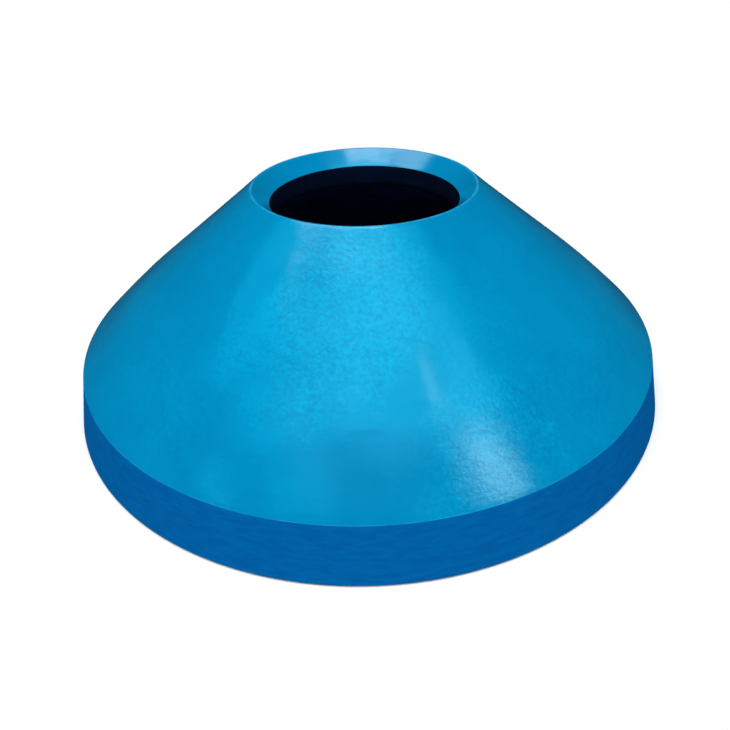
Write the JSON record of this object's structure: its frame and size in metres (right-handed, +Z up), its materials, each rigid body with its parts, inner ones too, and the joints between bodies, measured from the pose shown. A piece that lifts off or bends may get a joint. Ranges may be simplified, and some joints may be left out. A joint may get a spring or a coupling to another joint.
{
  "type": "cone crusher mantle",
  "caption": "Conical wear liner for a cone crusher's head: a thick open steel shell with a drafted skirt, a crushing face, a bevelled top bore and turned inner seats.",
  "frame": {"origin": "centre of the flat base, on the axis", "axes": "+Z up along the axis, from the base to the bore; the part is turned, so X and Y are free"},
  "size_m": [1.298, 1.298, 0.4314],
  "materials": {
    "blue_paint": "satin blue paint over a cast and turned surface"
  },
  "bodies": {
    "root": {"mantle": "blue_paint"}
  },
  "joints": []
}
